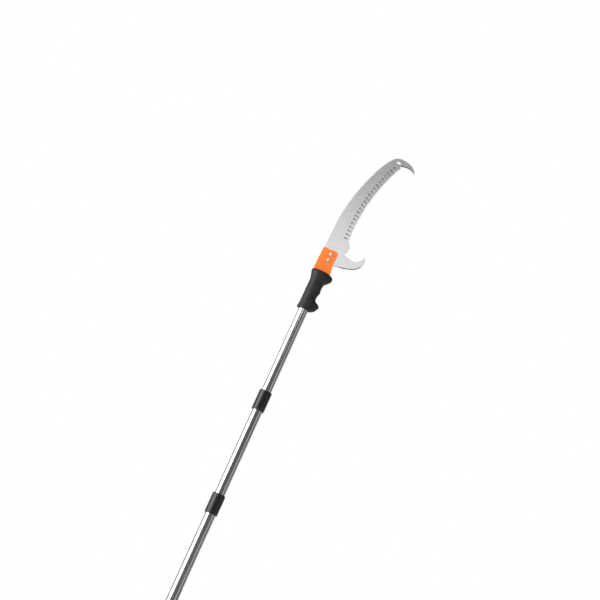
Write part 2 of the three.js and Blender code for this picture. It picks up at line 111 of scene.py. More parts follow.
def soft_box(name, place, aim, size, brightness):
    """A rectangular light at place, facing aim, with one brightness whatever its size."""
    data = bpy.data.lights.new(name, "AREA")
    data.shape = "RECTANGLE"
    data.size, data.size_y = size
    data.energy = brightness * math.pi * size[0] * size[1]
    lamp = bpy.data.objects.new(name, data)
    facing = (Vector(aim) - Vector(place)).to_track_quat("-Z", "Y")
    lamp.matrix_world = Matrix.LocRotScale(Vector(place), facing, None)
    scene.collection.objects.link(lamp)
    print("soft box %s, %.1f by %.1f m" % (name, *size))


soft_box("left", (-1.95, -1.0, 1.3), POLE_MIDDLE, (2.4, 2.6), 2.9)
soft_box("right", (1.8, -0.9, 1.3), POLE_MIDDLE, (1.2, 2.6), 0.28)
soft_box("blade_front", (-0.05, -1.5, 1.6), BLADE_FOOT, (0.9, 0.26), 2.6)
soft_box("high_front", (0.3, -1.8, 3.3), POLE_TOP, (1.6, 1.2), 1.5)
soft_box("back_left", (-1.6, 2.2, 1.5), POLE_MIDDLE, (1.6, 2.2), 1.3)
soft_box("back_right", (1.8, 2.0, 1.6), POLE_MIDDLE, (1.4, 2.2), 0.9)

# %% [markdown]
# ## Background
# The background is white where the camera sees it, a soft fill for matt surfaces such as the floor
# and the orange coat, and dim in the reflections, so that it doesn't wash out the tubes' stripes.
# One plain colour can't do all three, so the kind of ray chooses between white and a dim grey.

# %% Background
DIFFUSE_FILL = 0.45
DIM_GREY = (0.11, 0.11, 0.112, 1)
world = bpy.data.worlds.new("studio")
world.use_nodes = True
nodes, links = world.node_tree.nodes, world.node_tree.links
seen = nodes["Background"]
seen.inputs["Color"].default_value = (1, 1, 1, 1)
reflected = nodes.new("ShaderNodeBackground")
reflected.inputs["Color"].default_value = DIM_GREY
by_ray = nodes.new("ShaderNodeMixShader")
light_path = nodes.new("ShaderNodeLightPath")
fill = nodes.new("ShaderNodeMath")
fill.operation = "MULTIPLY_ADD"
fill.inputs[1].default_value = DIFFUSE_FILL
links.new(light_path.outputs["Is Diffuse Ray"], fill.inputs[0])
links.new(light_path.outputs["Is Camera Ray"], fill.inputs[2])
links.new(fill.outputs[0], by_ray.inputs[0])
links.new(reflected.outputs[0], by_ray.inputs[1])
links.new(seen.outputs[0], by_ray.inputs[2])
links.new(by_ray.outputs[0], nodes["World Output"].inputs[0])
scene.world = world
print("background: white, %.2f as a fill" % DIFFUSE_FILL)

# %% [markdown]
# ## Floor
# A plain pale floor lies under the butt of the pole. It is part of the studio and not of the saw.
# A single flat face is enough, and it is very wide so that its far edge reads as a horizon.

# %% Floor
FLOOR_SIZE = 60
bm = bmesh.new()
bmesh.ops.create_grid(bm, x_segments=1, y_segments=1, size=FLOOR_SIZE / 2)
floor_mesh = bpy.data.meshes.new("floor")
bm.to_mesh(floor_mesh)
bm.free()
floor = bpy.data.objects.new("floor", floor_mesh)
scene.collection.objects.link(floor)
floor_material = bpy.data.materials.new("pale_floor")
floor_material.use_nodes = True
floor_shader = floor_material.node_tree.nodes["Principled BSDF"]
floor_shader.inputs["Base Color"].default_value = (0.9, 0.9, 0.9, 1)
floor_shader.inputs["Roughness"].default_value = 0.7
floor_mesh.materials.append(floor_material)
print("floor: %d m across" % FLOOR_SIZE)

# %% [markdown]
# ## A small kit for materials
# Every finish here is the same recipe with other numbers: a Principled shader, a pattern on
# Object coordinates stretched the way the surface was worked, and that pattern sent to the
# roughness, the colour and the bump. Object coordinates are in metres, so a scale of 1000 means
# one feature in a millimetre. In a call to node, i0 and i1 are the node's inputs by number.

# %% Material helpers


class Finish:
    """A material under construction, with short calls for the nodes it uses."""

    def __init__(self, name, colour, roughness, metallic=0.0):
        self.material = bpy.data.materials.new(name)
        self.material.use_nodes = True
        self.nodes = self.material.node_tree.nodes
        self.links = self.material.node_tree.links
        self.shader = self.nodes["Principled BSDF"]
        self.set("Base Color", (*colour, 1))
        self.set("Roughness", roughness)
        self.set("Metallic", metallic)
        self.place = self.nodes.new("ShaderNodeTexCoord").outputs["Object"]

    def set(self, socket, value):
        self.shader.inputs[socket].default_value = value

    def send(self, output, socket):
        self.links.new(output, self.shader.inputs[socket])

    def node(self, kind, **inputs):
        made = self.nodes.new("ShaderNode" + kind)
        for key, value in inputs.items():
            socket = made.inputs[int(key[1:]) if key[0] == "i" and key[1:].isdigit() else key]
            if isinstance(value, bpy.types.NodeSocket):
                self.links.new(value, socket)
            else:
                socket.default_value = value
        return made

    def maths(self, operation, first, second=0.0):
        made = self.node("Math", i0=first, i1=second)
        made.operation = operation
        return made.outputs[0]

    def stretched(self, scale, move=(0, 0, 0)):
        return self.node("Mapping", Vector=self.place, Scale=scale, Location=move).outputs[0]

    def noise(self, scale, detail=4.0, along=(1, 1, 1), move=(0, 0, 0), rough=0.55):
        where = self.stretched(along, move)
        made = self.node("TexNoise", Vector=where, Scale=scale, Detail=detail, Roughness=rough)
        return made.outputs["Fac"]

    def ranged(self, value, low, high, to_low, to_high):
        """The value, with low to high spread over to_low to to_high."""
        made = self.nodes.new("ShaderNodeMapRange")
        self.links.new(value, made.inputs["Value"])
        pairs = zip(("From Min", "From Max", "To Min", "To Max"), (low, high, to_low, to_high))
        for key, number in pairs:
            made.inputs[key].default_value = number
        return made.outputs["Result"]

    def mixed(self, factor, first, second):
        """A colour between first and second."""
        made = self.nodes.new("ShaderNodeMix")
        made.data_type = "RGBA"
        sockets = [s for s in made.inputs if s.enabled]
        for socket, value in zip(sockets, (factor, first, second)):
            if isinstance(value, bpy.types.NodeSocket):
                self.links.new(value, socket)
            else:
                socket.default_value = value if isinstance(value, float) else (*value, 1)
        return next(s for s in made.outputs if s.enabled)

    def bump(self, height, strength, depth):
        made = self.node("Bump", Height=height, Strength=strength, Distance=depth)
        self.send(made.outputs[0], "Normal")


# %% [markdown]
# ## Polished stainless tube
# Stainless pole tube is drawn and then polished along its length. It is nearly a mirror, with
# hair-fine lines running along it and a few handling smudges. A noise squeezed across the tube
# and pulled out along it gives the lines, and a large soft noise gives the smudges. Anisotropic
# shading is another way, but noise also gives lines that can be seen from close by.

# %% Polished tube
polished = Finish("polished_stainless", (0.78, 0.785, 0.79), 0.14, 1.0)
draw_lines = polished.noise(1800, 3, along=(1, 1, 0.012))
smudges = polished.noise(24, 5, along=(1, 1, 0.5))
line_roughness = polished.ranged(draw_lines, 0.3, 0.7, 0.10, 0.19)
smudge_roughness = polished.ranged(smudges, 0.5, 0.75, 0.0, 0.10)
polished.send(polished.maths("ADD", line_roughness, smudge_roughness), "Roughness")
polished.send(polished.mixed(smudges, (0.80, 0.805, 0.81), (0.74, 0.74, 0.735)), "Base Color")
polished.bump(draw_lines, 0.05, 0.02 * MM)
print("polished tube: %d nodes" % len(polished.nodes))

# %% [markdown]
# ## Satin blade steel
# The blade is rolled strip, satin ground along its curve. The tooth band is ground again, across
# the teeth, and is brighter. Both follow the tooth line, which is an arc, so the pattern reads
# the distance from the arc's centre: equal distance means the same grinding line.

# %% Blade steel
TOOTH_ARC_R = 495 * MM
TOOTH_ARC_X = 34.2 * MM
TOOTH_ARC_Z = 66 * MM
TOOTH_BAND = 3.2 * MM
BAND_EDGE = 0.3 * MM
TOOTHED = (38 * MM, 272 * MM)
arc_centre = Vector((TOOTH_ARC_X + TOOTH_ARC_R, 0, socket_top + TOOTH_ARC_Z))

satin = Finish("satin_blade_steel", (0.70, 0.705, 0.70), 0.3, 1.0)
from_centre = satin.node("VectorMath", i0=satin.place, i1=arc_centre)
from_centre.operation = "SUBTRACT"
flat_offset = satin.node("VectorMath", i0=from_centre.outputs[0], i1=(1, 0, 1))
flat_offset.operation = "MULTIPLY"
arc_distance = satin.node("VectorMath", i0=flat_offset.outputs[0])
arc_distance.operation = "LENGTH"
inward = satin.maths("SUBTRACT", arc_distance.outputs["Value"], TOOTH_ARC_R)
blade_z = satin.node("SeparateXYZ", Vector=satin.place).outputs["Z"]


def streaks(across, along):
    """Noise in long streaks: features per metre across the tooth line and along the blade."""
    place = satin.node("CombineXYZ", X=satin.maths("MULTIPLY", inward, across),
                       Y=satin.maths("MULTIPLY", blade_z, along))
    return satin.node("TexNoise", Vector=place.outputs[0], Scale=1.0, Detail=4.0).outputs["Fac"]


grain = streaks(2600.0, 14.0)
cross_grain = streaks(60.0, 3200.0)
in_band = satin.ranged(inward, TOOTH_BAND, TOOTH_BAND + BAND_EDGE, 1.0, 0.0)
above_heel = satin.maths("GREATER_THAN", blade_z, socket_top + TOOTHED[0])
below_hook = satin.maths("LESS_THAN", blade_z, socket_top + TOOTHED[1])
toothed_height = satin.maths("MULTIPLY", above_heel, below_hook)
toothed = satin.maths("MULTIPLY", in_band, toothed_height)
worked = satin.mixed(toothed, grain, cross_grain)
steel = satin.mixed(grain, (0.72, 0.725, 0.72), (0.68, 0.685, 0.68))
bright = satin.mixed(toothed, steel, (0.80, 0.80, 0.795))
print("tooth line: radius %.0f mm" % (TOOTH_ARC_R / MM))

# %% [markdown]
# ## Painted shade round the gullets
# Each gullet shows as a dark mark on the bright blade. The mark is painted shade: a dark colour
# along the slit, and round the eye at its end, stands in for the shade in the gullet's recess.
# Pieces of dark mesh laid on the blade could flicker against it, so the marks are a pattern in the
# steel's colour. It counts pitches along the tooth line: the angle about the arc's centre gives the
# distance along, less the slit's lean there.

# %% Gullet marks
TOOTH_FROM = -0.0586
PITCH = 10.65 * MM
FIRST_GULLET = 0.4
GULLETS = 22
GULLET_DEPTH = 13.6 * MM
GULLET_LEAN = 3 * MM
EYE_DEPTH = 12.85 * MM
EYE_MARK = 2.1 * MM
EYE_EDGE = 0.3 * MM
SLIT_MARK = 0.8 * MM
SLIT_EDGE = 0.25 * MM
SLIT_DARKNESS = 0.85
PAST_LAST = 0.1
GULLET_SHADE_COLOUR = (0.05, 0.05, 0.053)

offset_axes = satin.node("SeparateXYZ", Vector=from_centre.outputs[0])
turned_by = satin.maths("ARCTAN2", offset_axes.outputs["Z"],
                        satin.maths("MULTIPLY", offset_axes.outputs["X"], -1.0))
past_start = satin.maths("SUBTRACT", turned_by, TOOTH_FROM)
along_teeth = satin.maths("MULTIPLY", past_start, TOOTH_ARC_R)


def from_gullet(lean):
    """Distance along the tooth line from the nearest gullet's middle."""
    pitches = satin.maths("DIVIDE", satin.maths("SUBTRACT", along_teeth, lean), PITCH)
    shifted = satin.maths("ADD", pitches, 0.5 - FIRST_GULLET)
    nearest = satin.maths("SUBTRACT", satin.maths("FRACT", shifted), 0.5)
    return satin.maths("MULTIPLY", nearest, PITCH)


slit_lean = satin.maths("MULTIPLY", inward, GULLET_LEAN / GULLET_DEPTH)
beside_slit = satin.maths("ABSOLUTE", from_gullet(slit_lean))
on_slit = satin.ranged(beside_slit, SLIT_MARK, SLIT_MARK + SLIT_EDGE, SLIT_DARKNESS, 0.0)
in_depth = satin.maths("MULTIPLY", satin.maths("GREATER_THAN", inward, TOOTH_BAND),
                       satin.maths("LESS_THAN", inward, EYE_DEPTH))
beside_eye = from_gullet(EYE_DEPTH * GULLET_LEAN / GULLET_DEPTH)
above_eye = satin.maths("SUBTRACT", inward, EYE_DEPTH)
eye_offset = satin.node("CombineXYZ", X=beside_eye, Y=above_eye)
eye_distance = satin.node("VectorMath", i0=eye_offset.outputs[0])
eye_distance.operation = "LENGTH"
on_eye = satin.ranged(eye_distance.outputs["Value"], EYE_MARK, EYE_MARK + EYE_EDGE, 1.0, 0.0)
# Painted shade: the mask below darkens the colour round each slit and eye of the gullets.
gullet_shade = satin.maths("MAXIMUM", on_eye, satin.maths("MULTIPLY", on_slit, in_depth))
past_first = satin.maths("GREATER_THAN", along_teeth, 0.0)
before_end = satin.maths("LESS_THAN", along_teeth, (GULLETS - PAST_LAST) * PITCH)
painted_gullet_shade = satin.maths("MULTIPLY", gullet_shade, satin.maths("MULTIPLY", past_first, before_end))
# The painted gullet shade goes into the colour here.
satin.send(satin.mixed(painted_gullet_shade, bright, GULLET_SHADE_COLOUR), "Base Color")
satin.send(satin.ranged(worked, 0.3, 0.7, 0.30, 0.38), "Roughness")
satin.bump(worked, 0.05, 0.01 * MM)
print("gullet marks: %d, one each %.2f mm" % (GULLETS, PITCH / MM))

# %% [markdown]
# ## Painted shade on the ground flats
# The flats ground along the hooks are darker than the blade, because they tilt away and reflect
# darker surroundings. That shade is painted here into a second steel material, dark, blue-grey
# and a little cloudy. It goes on those faces, since the flats are faces of their own and need no
# pattern to find them.

# %% Painted shade on the hooks' flats
# Painted shade: a dark copy of the blade steel for the flats that tilt away from the light.
flat_shade_steel = Finish("painted_shade_flat", (0.10, 0.10, 0.105), 0.45, 1.0)
flat_shade_tone = flat_shade_steel.noise(700, 3)
flat_shade_steel.send(flat_shade_steel.mixed(flat_shade_tone, (0.07, 0.072, 0.078), (0.16, 0.15, 0.14)), "Base Color")
flat_shade_steel.send(flat_shade_steel.ranged(flat_shade_tone, 0.3, 0.7, 0.36, 0.55), "Roughness")
print("painted shade on the flats: %d nodes" % len(flat_shade_steel.nodes))

# %% [markdown]
# ## Orange powder coat
# The socket is sprayed with powder and baked. That leaves a faint orange-peel ripple, a slightly
# uneven colour and, with use, scuffs along the upper rim where branches rub. The scuffs are a
# noise that only counts near the rim's height, so they need no painted mask.

# %% Orange coat
SCUFF_REACH = 7 * MM
orange = Finish("orange_powder_coat", (0.95, 0.20, 0.02), 0.42)
peel = orange.noise(850, 2)
tone = orange.noise(45, 3)
coat = orange.mixed(tone, (1.0, 0.23, 0.022), (0.94, 0.17, 0.018))
coat_height = orange.node("SeparateXYZ", Vector=orange.place).outputs["Z"]
near_rim = orange.ranged(coat_height, socket_top - SCUFF_REACH, socket_top, 0.0, 1.0)
rubbed = orange.ranged(orange.noise(320, 6), 0.52, 0.66, 0.0, 0.8)
scuffs = orange.maths("MULTIPLY", near_rim, rubbed)
orange.send(orange.mixed(scuffs, coat, (0.62, 0.50, 0.42)), "Base Color")
orange.send(orange.ranged(orange.noise(130, 6), 0.3, 0.75, 0.36, 0.54), "Roughness")
orange.set("Coat Weight", 0.08)
orange.set("Specular IOR Level", 0.3)
orange.set("Coat Roughness", 0.2)
orange.bump(peel, 0.25, 0.05 * MM)
print("orange coat: scuffed over the top %.0f mm" % (SCUFF_REACH / MM))

# %% [markdown]
# ## Moulded plastics and rubber
# The grip is moulded in a spark-eroded tool, which gives a fine matt grain. The lock nuts are
# smoother nylon. The butt cap is soft rubber, duller and dustier. The rings inside are natural
# acetal, a pale plastic. One recipe serves all four: a grain in the bump, and a slow noise that
# changes the colour a little where dust lies.


# %% Moulded finishes
def moulded(name, colour, dust, roughness, grain_scale, grain_depth):
    made = Finish(name, colour, roughness)
    patches = made.noise(38, 5)
    made.send(made.mixed(made.ranged(patches, 0.45, 0.8, 0.0, 1.0), colour, dust), "Base Color")
    made.send(made.ranged(patches, 0.3, 0.7, roughness - 0.05, roughness + 0.08), "Roughness")
    made.bump(made.noise(grain_scale, 3), 0.35, grain_depth)
    return made


grip_black = moulded("grip_black", (0.006, 0.006, 0.0065), (0.016, 0.016, 0.016),
                     0.5, 1500, 0.12 * MM)
nylon_black = moulded("nylon_black", (0.005, 0.005, 0.0055), (0.012, 0.012, 0.012),
                      0.27, 2200, 0.02 * MM)
rubber_black = moulded("rubber_black", (0.016, 0.016, 0.016), (0.04, 0.038, 0.035),
                       0.74, 1100, 0.1 * MM)
nylon_black.set("Specular IOR Level", 0.75)
acetal = moulded("natural_acetal", (0.66, 0.66, 0.62), (0.6, 0.59, 0.54), 0.42, 1600, 0.03 * MM)
print("moulded finishes: grip, nylon, rubber and acetal")

# %% [markdown]
# ## Zinc plate
# The screws, nuts and washers are zinc plated: a pale metal with a faint warm cloudiness
# from the passivating bath. One noise drives both the colour and the roughness, because on
# the real plate the cloudier patches are also the duller ones.

# %% Zinc
zinc = Finish("zinc_plate", (0.72, 0.70, 0.66), 0.3, 1.0)
bloom = zinc.noise(420, 4)
zinc.send(zinc.mixed(bloom, (0.86, 0.82, 0.74), (0.78, 0.71, 0.58)), "Base Color")
zinc.send(zinc.ranged(bloom, 0.3, 0.7, 0.34, 0.48), "Roughness")
zinc.bump(zinc.noise(2400, 2), 0.1, 0.02 * MM)
print("materials:", len(bpy.data.materials))

# %% [markdown]
# ## Finishing a piece
# Each new piece ends the same way: the mesh is written, flat faces stay crisp while round ones
# shade smoothly, and the piece takes its material, its body and the solid that it stands for.


# %% Finish a piece
SAME_POINT = 0.002 * MM


def soften(bm, width, sharper_than=30, segments=2):
    """Rounds every edge that turns more sharply than the given angle."""
    limit = math.radians(sharper_than)
    edges = [e for e in bm.edges if e.is_manifold and e.calc_face_angle(0) > limit]
    bmesh.ops.bevel(bm, geom=edges, offset=width, affect="EDGES", segments=segments,
                    profile=0.5, material=-1, clamp_overlap=True)


def tidy_normals(bm):
    bmesh.ops.remove_doubles(bm, verts=bm.verts, dist=SAME_POINT)
    bmesh.ops.recalc_face_normals(bm, faces=bm.faces)


def make_piece(name, bm, finish, body, stands_for, smooth_below=35):
    mesh = bpy.data.meshes.new(name)
    bm.to_mesh(mesh)
    bm.free()
    mesh.shade_smooth()
    mesh.set_sharp_from_angle(angle=math.radians(smooth_below))
    mesh.materials.append(finish.material)
    made = bpy.data.objects.new(name, mesh)
    scene.collection.objects.link(made)
    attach(made, body)
    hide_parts(*stands_for)
    print("%s: %d faces" % (name, len(mesh.polygons)))
    return made


# %% [markdown]
# ## Turned pieces
# Tubes, nuts, lock bodies and the butt cap are all round about the pole. Each is one closed
# outline of radius and height, spun about the pole's axis. Where a piece's sharp edges are bevelled
# after the spin, as on the tubes, they catch a line of light as real edges do.

# %% Spin helper
ROUND_STEPS = 96


def turned(outline, steps=ROUND_STEPS):
    """A solid of revolution about the pole from a closed outline of (radius, height)."""
    bm = bmesh.new()
    corners = [bm.verts.new((r, 0, z)) for r, z in outline]
    edges = [bm.edges.new(pair) for pair in zip(corners, corners[1:] + corners[:1])]
    bmesh.ops.spin(bm, geom=corners + edges, cent=(0, 0, 0), axis=(0, 0, 1),
                   angle=math.tau, steps=steps, use_merge=True)
    tidy_normals(bm)
    return bm


# %% [markdown]
# ## Tubes
# Each tube is plain drawn tube, cut off square and broken at the ends. Four corners are all that
# its outline needs. A tube is thousands of times longer than the break on its end. If that break
# shaded smoothly into the side, it would tilt the reflections along the whole tube, so only
# angles under 15 degrees are smooth here.

# %% Tubes
TUBE_WALL = 0.38 * MM
TUBE_END_BREAK = 0.15 * MM
LONG_SMOOTH_BELOW = 15
for node, body in (("base_tube", "base"), ("middle_tube", "middle"), ("top_tube", "head")):
    low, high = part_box(node)
    r = tube_radius[node]
    bm = turned([(r - TUBE_WALL, low.z), (r, low.z), (r, high.z), (r - TUBE_WALL, high.z)])
    soften(bm, TUBE_END_BREAK)
    make_piece(node + "_polished", bm, polished, body, [node], LONG_SMOOTH_BELOW)

# %% [markdown]
# ## Lock nuts
# Each nut is a plain black sleeve with a large round at its upper edge. A shallow groove near the
# lower rim is where the moulding tool parts. The inside is hidden, so it is a plain bore with the
# narrow mouth that the inner tube runs through. One spun outline gives the round, the groove and
# the bore together, where separate cuts could each leave a seam in the shading. A short band below
# the round keeps its smooth shading off the long side.


# %% Lock nuts
def arc(centre_r, centre_z, radius, start, end, steps=6):
    """Points of (radius, height) along an arc, with angles in degrees from outwards."""
    turns = [math.radians(start + (end - start) * i / steps) for i in range(steps + 1)]
    return [(centre_r + radius * math.cos(t), centre_z + radius * math.sin(t)) for t in turns]


NUT_WALL = 1 * MM
NUT_MOUTH_GAP = 0.5 * MM
NUT_CEILING = 8.6 * MM
NUT_ROUND = 2.6 * MM
SHADING_BAND = 1 * MM
LIP_WIDTH = 0.1 * MM
LIP_HEIGHT = 0.4 * MM
GROOVE_DEPTH = 0.25 * MM
GROOVE_HEIGHTS = (3 * MM, 3.2 * MM, 3.6 * MM, 3.8 * MM)
MOULDED_SMOOTH_BELOW = 16
for label, inner in (("lower", "middle_tube"), ("upper", "top_tube")):
    node = label + "_lock_nut"
    low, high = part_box(node)
    shell_r, mouth_r = high.y, tube_radius[inner] + NUT_MOUTH_GAP
    cavity_r, ceiling = shell_r - NUT_WALL, high.z - NUT_CEILING
    groove_in, floor_from, floor_to, groove_out = (low.z + h for h in GROOVE_HEIGHTS)
    outline = [(cavity_r, low.z), (shell_r - LIP_WIDTH, low.z), (shell_r, low.z + LIP_HEIGHT)]
    outline += [(shell_r, groove_in), (shell_r - GROOVE_DEPTH, floor_from)]
    outline += [(shell_r - GROOVE_DEPTH, floor_to), (shell_r, groove_out)]
    outline += [(shell_r, high.z - NUT_ROUND - SHADING_BAND)]
    outline += arc(shell_r - NUT_ROUND, high.z - NUT_ROUND, NUT_ROUND, 0, 90, 9)
    outline += [(mouth_r, high.z), (mouth_r, ceiling), (cavity_r, ceiling)]
    make_piece(node + "_smooth", turned(outline), nylon_black, label + "_nut",
               [node], MOULDED_SMOOTH_BELOW)

# %% [markdown]
# ## Lock bodies
# Under each nut a threaded body is fixed on the outer tube, and only its flange shows. It is spun
# like the nut: a flange, a barrel, a shoulder that the outer tube butts against, and a cone at
# the mouth that squeezes the wedge ring. The thread is left out, because the nut hides it.

# %% Lock bodies
FLANGE = 5 * MM
FLANGE_BREAK = 0.8 * MM
BARREL_WALL = 1.15 * MM
TUBE_FIT = 0.12 * MM
SEAT = 26 * MM
THROAT_GAP = 0.3 * MM
CONE_FROM = 29 * MM
CONE_FOOT_GAP = 0.5 * MM
CONE_MOUTH_GAP = 1.15 * MM
for label, body, outer, inner in (("lower", "base", "base_tube", "middle_tube"),
                                  ("upper", "middle", "middle_tube", "top_tube")):
    node = label + "_lock_body"
    low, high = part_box(node)
    bore_r, inner_r = tube_radius[outer] + TUBE_FIT, tube_radius[inner]
    barrel_r = tube_radius[outer] + BARREL_WALL
    outline = [(bore_r, low.z), (high.y - FLANGE_BREAK, low.z), (high.y, low.z + FLANGE_BREAK)]
    outline += [(high.y, low.z + FLANGE), (barrel_r, low.z + FLANGE), (barrel_r, high.z)]
    outline += [(inner_r + CONE_MOUTH_GAP, high.z), (inner_r + CONE_FOOT_GAP, low.z + CONE_FROM)]
    outline += [(inner_r + THROAT_GAP, low.z + CONE_FROM), (inner_r + THROAT_GAP, low.z + SEAT)]
    outline += [(bore_r, low.z + SEAT)]
    make_piece(node + "_smooth", turned(outline), nylon_black, body,
               [node], MOULDED_SMOOTH_BELOW)

# %% [markdown]
# ## Butt cap
# A rubber cup closes the pole's lower end. Three shallow grooves give a hand something to hold
# when it is pulled off, and the end is rounded into a flat foot. It is one more spun outline, and
# its grooves are one shape repeated at three heights.

# %% Butt cap
CAP_FIT = 0.1 * MM
CAP_FLOOR = 4 * MM
FOOT_ROUND = 2.2 * MM
RIM_ROUND = 0.9 * MM
CAP_GROOVES = (12, 18, 24)
GROOVE_SHAPE = ((0, 0), (0.5, 0.5), (1.5, 0.5), (2, 0))
low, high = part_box("butt_cap")
cap_r, bore_r = high.y, tube_radius["base_tube"] + CAP_FIT
outline = [(0, low.z), (cap_r - FOOT_ROUND, low.z)]
outline += arc(cap_r - FOOT_ROUND, low.z + FOOT_ROUND, FOOT_ROUND, -80, 0)
for groove in CAP_GROOVES:
    for step, depth in GROOVE_SHAPE:
        outline.append((cap_r - depth * MM, low.z + (groove + step) * MM))
outline += arc(cap_r - RIM_ROUND, high.z - RIM_ROUND, RIM_ROUND, 0, 90, 4)
outline += [(bore_r, high.z), (bore_r, low.z + CAP_FLOOR), (0, low.z + CAP_FLOOR)]
make_piece("butt_cap_rubber", turned(outline), rubber_black, "base", ["butt_cap"])

# %% [markdown]
# ## Where the blade is ground
# The inner edges of both hooks and the belly of the lower hook are ground to a flat. The flats
# end short of the hooks' points, where the plate is too narrow for one from each side. A few
# limits in millimetres, counted from the socket's top edge, pick these edges from the outline.

# %% Where the blade is ground
HOOK_POINTS = (Vector((118.8, 0, 271.6)), Vector((93.3, 0, 1.5)))
POINT_CLEARANCE = 7
TAPER_LENGTH = 14
TIP_INSIDE_X = 77
TIP_INSIDE_Z = 268
TIP_BACK_X = 100
TIP_BACK_Z = 281.5
TIP_BACK_FALL = 0.3
BELLY_X = 24
BELLY_Z = -10
THROAT_X = (38, 90)
THROAT_Z = (-7, 17.5)
HEEL_X = 36
HEEL_Z = 3
HEEL_FALL = 0.1
HEEL_BEND = 110
CUT_EDGE = math.radians(80)
LEVEL = 0.1 * MM


def from_socket_top(point):
    """A point in millimetres, with heights counted from the socket's top edge."""
    return Vector((point.x / MM, 0, (point.z - socket_top) / MM))


def to_hook_point(point):
    return min((from_socket_top(point) - tip).length for tip in HOOK_POINTS)


def is_shaded_flat_edge(point):
    """Whether a point lies inside the tip hook or on the belly of the lower hook."""
    x, _, z = from_socket_top(point)
    if to_hook_point(point) < POINT_CLEARANCE:
        return False
    under_back = z < TIP_BACK_Z - TIP_BACK_FALL * max(x - TIP_BACK_X, 0)
    inside_tip = TIP_INSIDE_X < x and TIP_INSIDE_Z < z and under_back
    return inside_tip or (x > BELLY_X and z < BELLY_Z)


def is_throat_edge(point):
    """Whether a point lies in the throat of the lower hook, below the heel."""
    x, _, z = from_socket_top(point)
    run = x - HEEL_X
    below_heel = z < run ** 2 / HEEL_BEND + HEEL_Z - run * HEEL_FALL
    in_throat = THROAT_X[0] < x < THROAT_X[1] and THROAT_Z[0] < z < THROAT_Z[1]
    return in_throat and below_heel and to_hook_point(point) > POINT_CLEARANCE


def outline_edges(bm, wanted):
    """The sharp edges of the two faces' outlines whose both ends are wanted."""
    found = [e for e in bm.edges if e.is_manifold and e.calc_face_angle(0) > CUT_EDGE]
    level = [e for e in found if abs(e.verts[0].co.y - e.verts[1].co.y) < LEVEL]
    return [e for e in level if all(wanted(v.co) for v in e.verts)]


# %% [markdown]
# ## Blade
# The blade is plate cut to its outline, and that outline is already right in the frame's solid.
# Drawing it again would risk a second, different blade. So a copy of that mesh is merged, its
# loose triangles are dissolved into clean faces, and the cut edges are broken with a hair-fine
# bevel. Where it is ground, the bevel's inner edge is pulled over the face into a wide flat that
# narrows towards the hooks' points. The bevel operator's overlap clamp would narrow every bevel to
# suit the tightest corner, so it is off here, and very close points are merged first instead.

# %% Blade
MERGED = 0.01 * MM
SHORTEST_EDGE = 0.25 * MM
COPLANAR = math.radians(0.5)
GROUND_BEVEL = 0.5 * MM
GROUND_WIDTH = 2.2 * MM
CUT_BREAK = 0.1 * MM
NEAR_FACE = 0.05 * MM
BLADE_SMOOTH_BELOW = 12
BEVEL_TILT = (0.2, 0.98)
FLAT_TILT = (0.1, 0.99)
FLAT_CORNERS = 6


def break_edges(bm, edges, width):
    return bmesh.ops.bevel(bm, geom=edges, offset=width, affect="EDGES", segments=1,
                           profile=0.5, material=-1, clamp_overlap=False)


def is_tilted(face, limits):
    return limits[0] < abs(face.normal.y) < limits[1]


def slopes_at(vert):
    """The normals of the bevelled faces that meet at a vertex."""
    return [f.normal for f in vert.link_faces if is_tilted(f, BEVEL_TILT)]


bm = bmesh.new()
bm.from_mesh(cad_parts["saw_blade"].data)
bmesh.ops.remove_doubles(bm, verts=bm.verts, dist=MERGED)
bmesh.ops.dissolve_limit(bm, angle_limit=COPLANAR, verts=bm.verts, edges=bm.edges)
bmesh.ops.remove_doubles(bm, verts=bm.verts, dist=SHORTEST_EDGE)
face_y = max(v.co.y for v in bm.verts)
ground = break_edges(bm, outline_edges(bm, is_shaded_flat_edge), GROUND_BEVEL)
bm.normal_update()
pulled = {}
for vert in ground["verts"]:
    slopes = slopes_at(vert)
    if abs(vert.co.y) > face_y - NEAR_FACE and slopes:
        outwards = sum(slopes, Vector())
        outwards.y = 0
        share = min(max((to_hook_point(vert.co) - POINT_CLEARANCE) / TAPER_LENGTH, 0), 1)
        pulled[vert] = outwards.normalized() * (GROUND_WIDTH - GROUND_BEVEL) * share
for vert, pull in pulled.items():
    vert.co -= pull
bm.normal_update()
flats = [f for f in bm.faces if is_tilted(f, FLAT_TILT) and len(f.verts) <= FLAT_CORNERS]
# The flats take the dark steel, which paints their shade.
for face in flats:
    face.material_index = 1
flat_area = sum(f.calc_area() for f in flats) / MM**2
print("ground flats: %d faces, %.0f square millimetres" % (len(flats), flat_area))
break_edges(bm, outline_edges(bm, is_throat_edge), GROUND_BEVEL)
break_edges(bm, outline_edges(bm, lambda point: True), CUT_BREAK)
blade = make_piece("saw_blade_ground", bm, satin, "head", ["saw_blade"],
                   BLADE_SMOOTH_BELOW)
# The second material is the painted shade of the ground flats.
blade.data.materials.append(flat_shade_steel.material)

# %% [markdown]
# ## Outline of the socket
# The socket is a length of steel tube, pressed flat at the top to hold the blade. Pressing keeps
# the distance round the tube, so each level is a stadium whose width follows from its thickness.
# That one rule gives every level, where a loft between hand-drawn sections could bulge or pinch.

# %% Outline of the socket
SOCKET_R = 15.4 * MM
SOCKET_FLAT = 4.3 * MM
SOCKET_SHIFT = 2.5 * MM
SOCKET_TAPER = 0.9 * MM
FLATTEN = (66 * MM, 116 * MM)
socket_height = socket_top - grip_z


